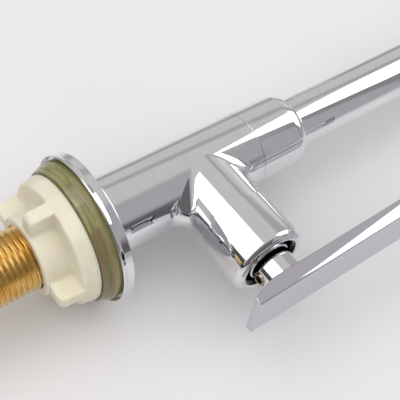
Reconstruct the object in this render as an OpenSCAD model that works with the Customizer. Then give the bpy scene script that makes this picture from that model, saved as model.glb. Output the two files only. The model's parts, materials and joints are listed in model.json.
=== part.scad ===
// Single-lever cold-water tap with a swivel gooseneck spout.
// The deck face is the plane z = 0, the body stands on +Z, the handle branch points to +X
// and the spout, as it lies, reaches the other way, towards -X.

/* [Body] */
// Outside diameter of the upright body and of the collar on top of it
body_d = 26.7; // [26.2:0.1:30]
// Height of the seam between the body and the collar, above the deck
seam_z = 70.6; // [70:0.1:80]
// Height of the handle branch's centre line above the deck
branch_z = 49.5; // [48:0.1:50]
// Outside diameter of the handle branch
branch_d = 26; // [25.6:0.1:26.6]
// Distance from the body's centre line to the seam of the bonnet sleeve
branch_len = 23.4; // [22.8:0.1:28]
// Radius of the fillet where the branch leaves the body
branch_fillet = 5.6; // [1:0.1:6]
// Diameter of the waterway up the body
waterway_d = 13; // [10:0.5:14]
// Diameter of the port that leads water to the ceramic discs
seat_port_d = 8.4; // [6:0.2:9]
// Diameter of the drilling that leads water from the valve up to the spout
outlet_port_d = 6; // [4:0.2:6.6]

/* [Base] */
// Outside diameter of the base flange at its lower rim
flange_d = 50.9; // [48:0.1:56]
// How far the foot of the flange flares out beyond its upright side
flange_flare = 0.5; // [0:0.05:1.5]
// Height of the flange's lower rim above the deck, bridged by the gasket
flange_lift = 5.2; // [4:0.1:6]
// Height of the base flange
flange_h = 4.8; // [4.4:0.1:7]
// Depth of the recess that holds the gasket
recess_depth = 1.6; // [1.2:0.1:3]
// Thickness of the flange's rim around the recess, at its lower end
rim_w = 0.85; // [0.7:0.05:1.2]
// Outside diameter of the gasket
gasket_d = 47.4; // [44:0.1:48]
// Height of the gasket's lower part, which tapers in towards the deck
gasket_skirt_h = 3.4; // [2:0.1:4]
// How far the gasket's lower edge tapers in
gasket_taper = 1.5; // [0.5:0.1:3]

/* [Inlet shank] */
// Outside diameter of the pipe thread, G 1/2
thread_d = 20.955; // [20.4:0.005:21.2]
// Pitch of the pipe thread, 14 turns to the inch
thread_pitch = 1.814; // [1.5:0.001:2]
// Bore of the shank
shank_bore_d = 15; // [12:0.5:16]
// Length of the shank below the deck
shank_len = 58; // [48:1:80]
// Length of shank screwed into the body
shank_grip = 10.2; // [8:0.1:12]
// Thickness of the sealing washer at the shank's top
inlet_washer_t = 1.5; // [1:0.1:2]

/* [Lock nut] */
// Diameter of the nut's flange
nut_d = 42.8; // [40:0.2:46]
// Thickness of the nut's flange
nut_flange_h = 5.6; // [4:0.1:7]
// Full height of the nut
nut_h = 13.9; // [12:0.1:18]
// Diameter of the boss around the thread
nut_boss_d = 26.4; // [25:0.2:30]
// Diameter over the lugs
nut_lug_d = 40.8; // [36:0.2:40.8]
// Thickness of one lug
nut_lug_w = 4.8; // [3:0.1:7]
// Number of lugs
nut_lugs = 4; // [3:1:6]
// Angle of the first lug from +X, as the nut is tightened
nut_turn = 2; // [0:1:89]

/* [Spout] */
// Outside diameter of the spout tube
tube_d = 19.2; // [18.6:0.1:20]
// Wall of the spout tube
tube_wall = 0.9; // [0.7:0.1:1.4]
// Reach from the body's centre line to the outlet's centre line
spout_reach = 156; // [120:1:200]
// Height at which the gooseneck starts to bend, above the deck
bend_z = 225; // [190:1:280]
// Straight length of tube below the bend on the outlet side
drop_len = 16; // [12:1:60]
// Height of the collar
collar_h = 21.2; // [19:0.1:26]
// Height of the collar's rounded shoulder
shoulder_h = 5; // [3:0.1:6]
// Height of the seat in the body, from its floor to the seam
socket_depth = 10.6; // [10:0.1:10.6]

/* [Outlet] */
// Outside diameter of the outlet tip and of the aerator's rim
tip_d = 21.8; // [21.4:0.1:25]
// Length of the outlet tip
tip_len = 11; // [9:0.1:16]
// Depth to which the tube goes into the tip
tip_grip = 6; // [4:0.1:7]
// Height of the aerator's visible rim
aerator_rim_h = 6; // [4:0.1:9]
// Diameter of one hole of the flow straightener
straightener_hole_d = 1.8; // [1:0.1:2.2]

/* [Bonnet] */
// Outside diameter of the bonnet sleeve
sleeve_d = 27; // [26.6:0.1:28]
// Length of the bonnet sleeve
sleeve_len = 18.8; // [18:0.1:22]
// Radius of the sleeve's rounded end
sleeve_nose_r = 2.35; // [2:0.05:2.5]
// Width across the flats of the headwork's hexagon
hex_af = 19; // [17:0.5:20]
// Diameter of the spindle in the headwork
spindle_d = 10.8; // [9.6:0.1:11]
// Diameter of the ceramic discs
disc_d = 14.4; // [13:0.1:14.6]

/* [Lever] */
// Diameter of the lever's hub
hub_d = 14.1; // [12.6:0.1:15]
// Diameter of the ring at the hub's foot
hub_foot_d = 15.2; // [15:0.1:16.4]
// Free length of hub between the sleeve's end and the blade
hub_free = 7.5; // [6.6:0.1:14]
// Thickness of the blade
blade_t = 5.3; // [4:0.1:8]
// Width of the blade at its near end
blade_w_near = 18.4; // [16:0.1:22]
// Width of the blade at its free end
blade_w_far = 22.3; // [16:0.1:28]
// Length of blade behind the turning axis
blade_tail = 16.8; // [12:0.1:24]
// Length of blade from the turning axis to its free end
blade_reach = 92; // [60:1:130]
// Length of the bevel on the back of the blade's ends
bevel_len = 8.5; // [4:0.1:9]
// Depth of that bevel
bevel_t = 2.6; // [0.5:0.1:3]
// Diameter of the grub screw
screw_d = 5; // [4:0.5:5]
// Length of the grub screw
screw_len = 4; // [3.6:0.1:5]
// Width across the flats of the grub screw's socket
screw_af = 2.5; // [1.5:0.1:3]
// Diameter of the spindle's spline
spline_d = 7.9; // [7:0.1:8.4]
// Number of spline teeth
spline_teeth = 20; // [12:1:24]

/* [Fits] */
// Radial clearance of a running fit
run_gap = 0.05; // [0.02:0.01:0.1]
// Radial clearance of a part that only has to drop in
loose_gap = 0.2; // [0.1:0.05:0.4]
// Gap left between two faces that slide past each other
face_gap = 0.1; // [0.05:0.05:0.2]

/* [Hidden] */
$fn = 72;
eps = 0.01;
cut = 1;

body_r = body_d / 2;
branch_r = branch_d / 2;
thread_r = thread_d / 2;

// Base: heights of the flange's rim, the recess floor and the body's foot
rim_z = flange_lift;
recess_z = flange_lift + recess_depth;
foot_z = flange_lift + flange_h;
flange_r = flange_d / 2;
flange_crown = 0.6;
flange_edge = 0.5;
flange_lip = 0.25;
flange_flare_h = 1.5;
flange_side_r = flange_r - flange_flare;
recess_r = flange_r - rim_w;
gasket_r = gasket_d / 2;
shank_hole_r = thread_r + 0.5;

// Shank thread: depth of a 55 degree pipe thread, and the flat left on each crest
thread_depth = 0.64 * thread_pitch;
crest_flat = 0.35;
thread_start_z = -shank_len + 1;
thread_turns = floor((shank_len - 2) / thread_pitch);
shank_top = foot_z + shank_grip;
inlet_floor_z = shank_top + face_gap + inlet_washer_t + face_gap;

// Branch: places along X, from the valve seat to the sleeve's end
seat_depth = 13.9;
seat_x = branch_len - seat_depth;
branch_neck_len = 5.5;
neck_x = branch_len + branch_neck_len;
sleeve_end_x = branch_len + sleeve_len;
neck_wall = 1.45;
branch_neck_r = sleeve_d / 2 - neck_wall - loose_gap;
headwork_thread_r = thread_r;
cavity_r = headwork_thread_r - 0.6;
cavity_x = seat_x + 2.5;
waterway_top = branch_z + seat_port_d / 2 - 1.2;

// Spout seat in the body and the collar round it
collar_wall = 1.45;
neck_r = body_r - collar_wall - face_gap;
socket_z = seam_z - socket_depth;
neck_rise = 8.3;
neck_top = seam_z + neck_rise;
slip_t = 1;
split_t = 1.6;
slip_z = neck_top + face_gap;
split_z = slip_z + slip_t + face_gap;
ledge_z = split_z + split_t + face_gap;
stem_r = tube_d / 2 - 1.1;
socket_r = stem_r + run_gap;
tube_r = tube_d / 2;
tube_in_r = tube_r - tube_wall;
stem_bore_r = 6.2;
stem_shoulder_t = 1.8;
spigot_len = 9;
stem_foot_gap = 0.4;
tube_z = ledge_z + face_gap + stem_shoulder_t;
collar_top = seam_z + collar_h;
collar_bore_r = tube_r + loose_gap;
split_outer_r = neck_r - 0.4;
groove_wall = 0.8;
oring_d = 1.5;
stem_orings = [for (i = [0, 1]) socket_z + 5.2 + i * 5.6];

// Gooseneck
bend_r = spout_reach / 2;
tube_end_z = bend_z - drop_len;

// Outlet, from the tube's end downwards
tip_r = tip_d / 2;
tip_top = tube_end_z + tip_grip;
tip_bottom = tip_top - tip_len;
tip_thread_r = tube_r - 0.2;
aerator_r = tip_thread_r - run_gap;
insert_r = aerator_r - 0.9;
rim_top = tip_bottom - face_gap;
rim_bottom = rim_top - aerator_rim_h;
tip_seat_t = 1.2;
aerator_washer_t = 1.4;
mesh_t = 0.3;
tip_seat_z = tube_end_z - face_gap - tip_seat_t;
aerator_washer_z = tip_seat_z - face_gap - aerator_washer_t;
mesh_z = aerator_washer_z - face_gap - mesh_t;
aerator_top = mesh_z - face_gap;
aerator_lip = 1;
aerator_lip_t = 1.2;
insert_z = rim_bottom + aerator_lip_t + face_gap;

// Headwork and spindle, along X
washer_t = 1;
hex_x = neck_x + face_gap + washer_t + face_gap;
hex_len = 4.5;
gland_r = sleeve_d / 2 - 2 * sleeve_nose_r - 0.6;
gland_end_x = sleeve_end_x - 3.6;
sleeve_bore_r = sleeve_d / 2 - neck_wall;
sleeve_wall_x = sleeve_end_x - sleeve_nose_r - 1.8;
nose_r = cavity_r - 1.5;
disc_r = disc_d / 2;
nose_bore_r = disc_r + face_gap;
nose_x = seat_x + 1.1;
stator_x = seat_x + 2.1;
stator_t = 2.5;
rotor_x = stator_x + stator_t + face_gap;
rotor_t = 3;
driver_x = rotor_x + rotor_t + face_gap;
driver_t = 1.8;
driver_r = disc_r - 0.5;
tongue_w = 2.4;
tongue_h = 1.3;
thrust_x = driver_x + driver_t + face_gap;
thrust_t = 0.6;
chamber_end_x = thrust_x + thrust_t + face_gap;
spindle_r = spindle_d / 2;
spindle_bore_r = spindle_r + run_gap;
spindle_oring_d = 1.2;
spindle_oring_r = spindle_r - 0.03 - spindle_oring_d / 2;
spindle_grooves = [for (i = [0, 1]) chamber_end_x + 4.2 + i * 4.4];
clip_x = gland_end_x + face_gap;
clip_t = 0.8;
clip_groove_r = spindle_r - 0.7;
spindle_step_x = clip_x + clip_t + 0.3;

// Lever, along X
hub_x = sleeve_end_x - 2.3;
hub_foot_t = 1.3;
blade_x = sleeve_end_x + hub_free;
hub_bore_r = spline_d / 2 + run_gap;
hub_bore_end = blade_x + 1.8;
spindle_end_x = hub_bore_end - 0.3;
screw_x = sleeve_end_x + screw_d / 2 + 0.05;
waist_r = spline_d / 2 - 0.75;
screw_top_z = branch_z - waist_r - face_gap;

// A ring, from its inner and outer radius, its lower face and its height
module ring(ri, ro, z, h) {
    translate([0, 0, z]) difference() {
        cylinder(h = h, r = ro);
        translate([0, 0, -cut]) cylinder(h = h + 2 * cut, r = ri);
    }
}

// Turns a shape drawn round +Z so that it lies along the branch, with z becoming x
module along_branch() {
    translate([0, 0, branch_z]) rotate([0, 90, 0]) rotate([0, 0, 180]) children();
}

// A round rubber ring of the given centre radius, section diameter and height
module oring(centre_r, section_d, z) {
    translate([0, 0, z]) rotate_extrude() translate([centre_r, 0]) circle(d = section_d, $fn = 24);
}

// Threaded brass tail under the deck, its thread drawn as rings of the true depth
module inlet_shank() {
    color("goldenrod") difference() {
        union() {
            translate([0, 0, -shank_len]) cylinder(h = 1, r1 = thread_r - 0.8, r2 = thread_r);
            translate([0, 0, thread_start_z])
                cylinder(h = shank_top - thread_start_z, r = thread_r);
        }
        for (i = [0 : thread_turns - 1]) thread_groove(thread_start_z + (i + 0.5) * thread_pitch);
        translate([0, 0, -shank_len - cut])
            cylinder(h = shank_len + shank_top + 2 * cut, d = shank_bore_d);
    }
}

// One V groove round the shank, at height z
module thread_groove(z) {
    half = (thread_pitch - crest_flat) / 2;
    translate([0, 0, z]) rotate_extrude()
        polygon([[thread_r - thread_depth, -0.12], [thread_r - thread_depth, 0.12],
            [thread_r + eps, half], [thread_r + cut, half], [thread_r + cut, -half],
            [thread_r + eps, -half]]);
}

// Washer between the shank's top and the floor of its socket
module inlet_washer() {
    color("dimgray") ring(shank_bore_d / 2 + 0.2, thread_r - 0.2, shank_top + face_gap,
        inlet_washer_t);
}

// Winged plastic nut that clamps the tap to the deck from below
module lock_nut() {
    lug_r = nut_lug_d / 2;
    nut_r = nut_d / 2;
    corner = 2;
    color("beige") difference() {
        union() {
            rotate_extrude() polygon([[0, 0], [nut_r - 0.3, 0], [nut_r, -0.3],
                [nut_r - 0.3, -nut_flange_h + 1.2], [lug_r, -nut_flange_h], [0, -nut_flange_h]]);
            translate([0, 0, -nut_h]) cylinder(h = nut_h - 1, d = nut_boss_d);
            intersection() {
                translate([0, 0, -nut_h + 0.5]) rotate_extrude() {
                    square([lug_r - corner, nut_h - 1]);
                    translate([0, corner]) square([lug_r, nut_h - 1 - corner]);
                    translate([lug_r - corner, corner]) circle(r = corner, $fn = 32);
                }
                for (i = [0 : nut_lugs - 1]) rotate([0, 0, nut_turn + i * 360 / nut_lugs])
                    translate([0, -nut_lug_w / 2, -nut_h]) cube([nut_d, nut_lug_w, nut_h]);
            }
        }
        translate([0, 0, -nut_h - cut]) cylinder(h = nut_h + 2 * cut, r = thread_r + run_gap);
    }
}

// Rubber gasket in the flange's recess, bearing on the deck
module base_gasket() {
    color("darkkhaki") rotate_extrude() polygon([[shank_hole_r, 0],
        [gasket_r - gasket_taper - 0.3, 0], [gasket_r - gasket_taper, 0.3], [gasket_r, gasket_skirt_h],
        [gasket_r, recess_z], [shank_hole_r, recess_z]]);
}

// Chromed base flange between the gasket and the body's foot
module base_flange() {
    edge_z = foot_z - flange_crown;
    color("gainsboro") rotate_extrude() polygon([[shank_hole_r, recess_z], [recess_r, recess_z],
        [recess_r, rim_z + flange_lip], [recess_r + flange_lip, rim_z],
        [flange_r - flange_lip, rim_z], [flange_r, rim_z + flange_lip],
        [flange_side_r, rim_z + flange_flare_h], [flange_side_r, edge_z - flange_edge],
        [flange_side_r - flange_edge, edge_z], [body_r + 0.5, foot_z], [shank_hole_r, foot_z]]);
}

// Point of the rolling-ball fillet between branch and body: a is the angle round the branch,
// t runs from 0 on the branch to 1 on the body
function fillet_centre(a, r) = let (y = (branch_r + r) * sin(a), z = (branch_r + r) * cos(a))
    [sqrt((body_r + r) * (body_r + r) - y * y), y, z];
function unit(v) = v / norm(v);
function fillet_point(a, t, r) = let (c = fillet_centre(a, r),
    to_branch = unit([0, -c[1], -c[2]]), to_body = unit([-c[0], -c[1], 0]),
    dir = unit((1 - t) * to_branch + t * to_body)) c + r * dir;

// The fillet as a closed ring of facets, its hidden sides sunk into branch and body
module branch_root() {
    steps = 48;
    arc = 6;
    sink = 0.6;
    skim = 0.02;
    across = arc + 4;
    points = [for (i = [0 : steps - 1]) let (a = i * 360 / steps,
            p0 = fillet_point(a, 0, branch_fillet), p1 = fillet_point(a, 1, branch_fillet),
            in0 = [0, -sin(a), -cos(a)], in1 = unit([-p1[0], -p1[1], 0]), y = branch_r * sin(a),
            corner = [sqrt(body_r * body_r - y * y), y, branch_r * cos(a)])
        each concat([p0 + skim * in0],
            [for (j = [1 : arc - 1]) fillet_point(a, j / arc, branch_fillet)],
            [p1 + skim * in1, p1 + sink * in1, corner + sink * (in0 + in1), p0 + sink * in0])];
    faces = [for (i = [0 : steps - 1], j = [0 : across - 1])
        let (k = (i + 1) % steps, m = (j + 1) % across, p = i * across + j, q = i * across + m,
            s = k * across + j, u = k * across + m) each [[p, q, u], [p, u, s]]];
    translate([0, 0, branch_z]) polyhedron(points, faces);
}

// Cast body: upright tube, handle branch, valve seat and the two waterways
module tap_body() {
    color("silver") difference() {
        union() {
            translate([0, 0, foot_z]) cylinder(h = seam_z - foot_z, r = body_r);
            translate([0, 0, seam_z - cut]) cylinder(h = neck_top - seam_z + cut, r = neck_r);
            along_branch() cylinder(h = branch_len, r = branch_r);
            along_branch() translate([0, 0, branch_len - cut])
                cylinder(h = branch_neck_len + cut, r = branch_neck_r);
            branch_root();
        }
        translate([0, 0, foot_z - cut]) cylinder(h = inlet_floor_z - foot_z + cut,
            r = thread_r + run_gap);
        translate([0, 0, inlet_floor_z - cut]) cylinder(h = waterway_top - inlet_floor_z + cut,
            d = waterway_d);
        translate([0, 0, socket_z]) cylinder(h = neck_top - socket_z + cut, r = socket_r);
        along_branch() cylinder(h = seat_x + cut, d = seat_port_d);
        along_branch() translate([0, 0, seat_x]) cylinder(h = cavity_x - seat_x + cut,
            r = nose_r + loose_gap);
        along_branch() translate([0, 0, cavity_x]) cylinder(h = neck_x, r = cavity_r);
        along_branch() translate([0, 0, chamber_end_x + 1])
            cylinder(h = neck_x, r = headwork_thread_r + run_gap);
        outlet_port();
    }
}

// Sloping drilling from the valve chamber up into the spout's seat
module outlet_port() {
    low = [cavity_x + 2.6, 0, branch_z + cavity_r - 4];
    high = [1.2, 0, socket_z + 1.2];
    run = low[0] - high[0];
    rise = high[2] - low[2];
    translate(low) rotate([0, -atan2(run, rise), 0]) cylinder(h = norm(high - low),
        d = outlet_port_d);
}

// Collar nut over the spout's foot, with its rounded shoulder
module spout_collar() {
    steps = 10;
    shoulder_w = body_r - collar_bore_r - 0.15;
    shoulder = [for (i = [0 : steps]) let (a = 90 * i / steps)
        [body_r - shoulder_w * (1 - cos(a)), collar_top - shoulder_h * (1 - sin(a))]];
    color("silver") rotate_extrude() polygon(concat([[body_r - collar_wall, seam_z + face_gap],
        [body_r - 0.15, seam_z + face_gap], [body_r, seam_z + face_gap + 0.15]], shoulder,
        [[collar_bore_r, collar_top], [collar_bore_r, ledge_z], [body_r - collar_wall, ledge_z]]));
}

// Plastic washer that the spout turns on
module slip_washer() {
    color("white") ring(socket_r + 0.1, split_outer_r, slip_z, slip_t);
}

// Split plastic ring snapped into the stem's groove, which the collar holds down
module split_ring() {
    gap = 3;
    color("ivory") difference() {
        ring(stem_r - groove_wall + run_gap, split_outer_r, split_z, split_t);
        translate([0, -gap / 2, split_z - cut]) cube([body_r, gap, split_t + 2 * cut]);
    }
}

// Brass stem brazed into the tube's foot and sealed in the body
module spout_stem() {
    stem_z = socket_z + stem_foot_gap;
    spigot_top = tube_z + spigot_len;
    groove_r = stem_r - 0.05 - oring_d;
    color("darkgoldenrod") difference() {
        union() {
            translate([0, 0, stem_z]) cylinder(h = tube_z - stem_z, r = stem_r);
            translate([0, 0, ledge_z]) cylinder(h = stem_shoulder_t, r = tube_r);
            translate([0, 0, ledge_z]) cylinder(h = spigot_top - ledge_z, r = tube_in_r - run_gap);
        }
        for (z = stem_orings) ring(groove_r, stem_r + cut, z - 1, 2);
        ring(stem_r - groove_wall, stem_r + cut, split_z - face_gap, ledge_z - split_z + face_gap);
        translate([0, 0, stem_z - cut]) cylinder(h = spigot_top - stem_z + 2 * cut, r = stem_bore_r);
    }
}

// Two O-rings that seal the stem in its seat
module spout_orings() {
    color("black") for (z = stem_orings) oring(stem_r - 0.03 - oring_d / 2, oring_d, z);
}

// Gooseneck: upright tube, half-circle bend and short drop, as one hollow tube
module spout_tube() {
    color("silver") union() {
        ring(tube_in_r, tube_r, tube_z, bend_z - tube_z);
        translate([-bend_r, 0, bend_z]) rotate([90, 0, 0])
            rotate_extrude(angle = 180) translate([bend_r, 0]) difference() {
                circle(r = tube_r);
                circle(r = tube_in_r);
            }
        at_outlet() ring(tube_in_r, tube_r, tube_end_z, drop_len);
    }
}

// Places a shape drawn round +Z on the outlet's centre line
module at_outlet() {
    translate([-spout_reach, 0, 0]) children();
}

// Chromed tip soldered on the tube's end, threaded for the aerator
module outlet_tip() {
    edge = 0.5;
    color("silver") at_outlet() rotate_extrude() polygon([[tube_in_r, tip_seat_z],
        [tip_thread_r, tip_seat_z], [tip_thread_r, tip_bottom],
        [tip_r - edge, tip_bottom], [tip_r, tip_bottom + edge], [tip_r, tip_top - edge],
        [tip_r - edge, tip_top], [tube_r + run_gap, tip_top],
        [tube_r + run_gap, tube_end_z - face_gap], [tube_in_r, tube_end_z - face_gap]]);
}

// Rubber washer above the aerator
module aerator_washer() {
    color("black") at_outlet() ring(insert_r - 1.6, tip_thread_r - 0.2, aerator_washer_z,
        aerator_washer_t);
}

// Woven strainer over the straightener, drawn as a perforated disc
module aerator_mesh() {
    pitch = 1.5;
    rows = floor(insert_r / pitch) - 1;
    color("lightgray") at_outlet() difference() {
        translate([0, 0, mesh_z]) cylinder(h = mesh_t, r = insert_r + 0.6);
        for (i = [-rows : rows], j = [-rows : rows]) if (norm([i, j]) * pitch < insert_r - pitch)
            translate([(i - 0.5) * pitch, (j - 0.5) * pitch, mesh_z - cut])
                cube([pitch - 0.5, pitch - 0.5, mesh_t + 2 * cut]);
    }
}

// Plastic flow straightener inside the aerator
module aerator_insert() {
    pitch = straightener_hole_d + 0.8;
    rows = floor(insert_r / pitch);
    color("white") at_outlet() difference() {
        translate([0, 0, insert_z]) cylinder(h = aerator_top - insert_z, r = insert_r - run_gap);
        for (i = [-rows : rows], j = [-rows : rows])
            let (x = pitch * (i + j / 2), y = pitch * j * sqrt(3) / 2)
            if (norm([x, y]) < insert_r - pitch) translate([x, y, insert_z - cut])
                cylinder(h = aerator_top - insert_z + 2 * cut, d = straightener_hole_d, $fn = 24);
    }
}

// Chromed aerator shell, screwed into the tip, with two flats for a key
module aerator_shell() {
    edge = 0.6;
    color("silver") at_outlet() difference() {
        rotate_extrude() polygon([[insert_r - aerator_lip, rim_bottom], [tip_r - edge, rim_bottom],
            [tip_r, rim_bottom + edge], [tip_r, rim_top], [aerator_r, rim_top],
            [aerator_r, aerator_top], [insert_r, aerator_top], [insert_r, insert_z - face_gap],
            [insert_r - aerator_lip, insert_z - face_gap]]);
        for (i = [0 : 1]) rotate([0, 0, i * 180]) translate([tip_r - 0.5, -tip_r, rim_bottom - cut])
            cube([tip_r, tip_d, aerator_rim_h - 1 + cut]);
    }
}

// Chromed sleeve over the headwork, with a rounded end round the hub
module bonnet_sleeve() {
    steps = 12;
    nose_centre = sleeve_d / 2 - sleeve_nose_r;
    nose = [for (i = [0 : steps]) let (a = 180 * i / steps)
        [nose_centre + sleeve_nose_r * cos(a), sleeve_end_x - sleeve_nose_r + sleeve_nose_r * sin(a)]];
    color("silver") along_branch() rotate_extrude() polygon(concat(
        [[sleeve_bore_r, branch_len + face_gap], [sleeve_d / 2 - 0.2, branch_len + face_gap],
        [sleeve_d / 2, branch_len + face_gap + 0.2]], nose,
        [[nose_centre - sleeve_nose_r, sleeve_wall_x], [sleeve_bore_r, sleeve_wall_x]]));
}

// Fibre washer under the headwork's hexagon
module headwork_washer() {
    color("firebrick") along_branch() ring(headwork_thread_r + loose_gap, branch_neck_r - 0.3,
        neck_x + face_gap, washer_t);
}

// Brass headwork: nose with windows round the discs, thread, hexagon and gland
module headwork_body() {
    window_w = 5;
    window_len = chamber_end_x - driver_x - 0.8;
    color("goldenrod") along_branch() difference() {
        union() {
            translate([0, 0, nose_x]) cylinder(h = hex_x - nose_x, r = nose_r);
            translate([0, 0, chamber_end_x + 1.4]) cylinder(h = hex_x - chamber_end_x - 1.4,
                r = headwork_thread_r);
            translate([0, 0, hex_x]) cylinder(h = hex_len, d = hex_af / cos(30), $fn = 6);
            translate([0, 0, hex_x]) cylinder(h = 1, r = sleeve_bore_r - 0.5);
            translate([0, 0, hex_x]) cylinder(h = gland_end_x - hex_x, r = gland_r);
        }
        translate([0, 0, nose_x - cut]) cylinder(h = chamber_end_x - nose_x + cut, r = nose_bore_r);
        cylinder(h = gland_end_x + cut, r = spindle_bore_r);
        for (i = [0 : 3]) rotate([0, 0, 45 + i * 90]) translate([0, -window_w / 2, driver_x])
            cube([nose_r + cut, window_w, window_len]);
    }
}

// Rubber seal between the valve seat and the fixed disc
module seat_seal() {
    color("black") along_branch() ring(seat_port_d / 2 + 0.4, nose_bore_r - run_gap,
        seat_x + face_gap, stator_x - seat_x - 2 * face_gap);
}

// Two opposite quarter-round ports through a disc
module disc_ports(z, h) {
    for (i = [0, 180]) rotate([0, 0, i]) translate([0, 0, z]) linear_extrude(h) intersection() {
        difference() {
            circle(r = disc_r - 1.6);
            circle(r = 1.5);
        }
        polygon([[0, 0], [disc_r, -disc_r * 0.8], [disc_r, disc_r * 0.8]]);
    }
}

// Fixed ceramic disc, its ports to either side
module stator_disc() {
    color("white") along_branch() difference() {
        translate([0, 0, stator_x]) cylinder(h = stator_t, r = disc_r);
        rotate([0, 0, 90]) disc_ports(stator_x - cut, stator_t + 2 * cut);
    }
}

// Turning ceramic disc, its ports a quarter turn away when the tap is shut
module rotor_disc() {
    color("whitesmoke") along_branch() difference() {
        translate([0, 0, rotor_x]) cylinder(h = rotor_t, r = disc_r - run_gap);
        disc_ports(rotor_x - cut, rotor_t + 2 * cut);
        translate([-tongue_w / 2 - 0.1, -disc_r, rotor_x + rotor_t - tongue_h - 0.1])
            cube([tongue_w + 0.2, disc_d, tongue_h + cut]);
    }
}

// Plastic washer that takes the spindle's thrust
module thrust_washer() {
    color("white") along_branch() ring(spindle_r + 0.1, nose_bore_r - 0.3, thrust_x, thrust_t);
}

// Cross-section of the spline, a star of straight-sided teeth
module spline_star(r, depth) {
    polygon([for (i = [0 : 2 * spline_teeth - 1]) let (a = i * 180 / spline_teeth,
        q = i % 2 == 0 ? r : r - depth) [q * cos(a), q * sin(a)]]);
}

// Brass spindle: tongue, driver, shaft with grooves, waist and spline
module spindle() {
    color("goldenrod") along_branch() difference() {
        union() {
            translate([-tongue_w / 2, -driver_r + 1, driver_x - tongue_h])
                cube([tongue_w, 2 * driver_r - 2, tongue_h + cut]);
            translate([0, 0, driver_x]) cylinder(h = driver_t, r = driver_r);
            translate([0, 0, driver_x]) cylinder(h = spindle_step_x - driver_x, r = spindle_r);
            translate([0, 0, spindle_step_x - cut])
                cylinder(h = spindle_end_x - spindle_step_x + cut, r = waist_r);
            for (span = [[spindle_step_x - cut, screw_x - screw_d / 2 - 0.2],
                    [screw_x + screw_d / 2 + 0.2, spindle_end_x]])
                translate([0, 0, span[0]]) linear_extrude(span[1] - span[0])
                    spline_star(spline_d / 2, 0.4);
        }
        for (x = spindle_grooves) ring(spindle_oring_r - spindle_oring_d / 2 - 0.03,
            spindle_r + cut, x - 0.8, 1.6);
        ring(clip_groove_r, spindle_r + cut, clip_x - 0.05, clip_t + 0.1);
    }
}

// Two O-rings on the spindle
module spindle_orings() {
    color("black") along_branch() for (x = spindle_grooves)
        oring(spindle_oring_r, spindle_oring_d, x);
}

// Spring-steel circlip that keeps the spindle in the headwork
module spindle_circlip() {
    gap = 3.4;
    color("slategray") along_branch() difference() {
        ring(clip_groove_r + run_gap, spindle_r + 1, clip_x, clip_t);
        translate([0, -gap / 2, clip_x - cut]) cube([2 * spindle_r, gap, clip_t + 2 * cut]);
    }
}

// Cast lever: foot ring, hub with its bore, and the flat blade
module lever() {
    color("silver") difference() {
        union() {
            along_branch() translate([0, 0, hub_x]) cylinder(h = hub_foot_t, d = hub_foot_d);
            along_branch() translate([0, 0, hub_x]) cylinder(h = blade_x - hub_x + cut, d = hub_d);
            blade();
        }
        along_branch() translate([0, 0, hub_x - cut]) cylinder(h = hub_bore_end - hub_x + cut,
            r = hub_bore_r);
        translate([screw_x, 0, branch_z - hub_d]) cylinder(h = hub_d, r = screw_d / 2 + run_gap);
    }
}

// Blade of the lever: a widening bar with its back bevelled at both ends
module blade() {
    low = branch_z - blade_tail;
    high = branch_z + blade_reach;
    near = blade_w_near / 2;
    far = blade_w_far / 2;
    difference() {
        translate([blade_x, 0, 0]) rotate([90, 0, 90]) linear_extrude(blade_t)
            polygon([[-near, low], [near, low], [far, high], [-far, high]]);
        end_bevel(low, 1);
        end_bevel(high, -1);
    }
}

// Wedge cut off the blade's back at height z, running towards side
module end_bevel(z, side) {
    translate([0, blade_w_far, 0]) rotate([90, 0, 0]) linear_extrude(2 * blade_w_far)
        polygon([[blade_x - cut, z - side * cut], [blade_x - cut, z + side * bevel_len],
            [blade_x, z + side * bevel_len], [blade_x + bevel_t, z],
            [blade_x + bevel_t, z - side * cut]]);
}

// Socket grub screw that locks the hub on the spindle's waist
module grub_screw() {
    bottom = screw_top_z - screw_len;
    color("tan") translate([screw_x, 0, 0]) difference() {
        union() {
            translate([0, 0, bottom + 0.4]) cylinder(h = screw_len - 0.8, d = screw_d);
            translate([0, 0, bottom]) cylinder(h = 0.4, d1 = screw_d - 0.8, d2 = screw_d);
            translate([0, 0, screw_top_z - 0.4]) cylinder(h = 0.4, d1 = screw_d, d2 = screw_d - 0.8);
        }
        translate([0, 0, bottom - cut]) cylinder(h = screw_len * 0.55 + cut,
            d = screw_af / cos(30), $fn = 6);
    }
}

inlet_shank();
inlet_washer();
lock_nut();
base_gasket();
base_flange();
tap_body();
spout_collar();
slip_washer();
split_ring();
spout_stem();
spout_orings();
spout_tube();
outlet_tip();
aerator_washer();
aerator_mesh();
aerator_insert();
aerator_shell();
bonnet_sleeve();
headwork_washer();
headwork_body();
seat_seal();
stator_disc();
rotor_disc();
thrust_washer();
spindle();
spindle_orings();
spindle_circlip();
lever();
grub_screw();
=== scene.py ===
"""Looks of a chromed cold-water kitchen tap with a swivel gooseneck, lying on a pale table.

Sizes are in millimetres in the part's own frame: the deck face is z = 0, the body stands on +Z,
the handle branch points to +X and the spout reaches to -X. The tap lies on its back, so the
table is the plane behind it, facing -Y. Meshes are turned to metres as they are made.
"""

import json
import math

import bmesh
import bpy
import numpy as np
from mathutils import Matrix


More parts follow.
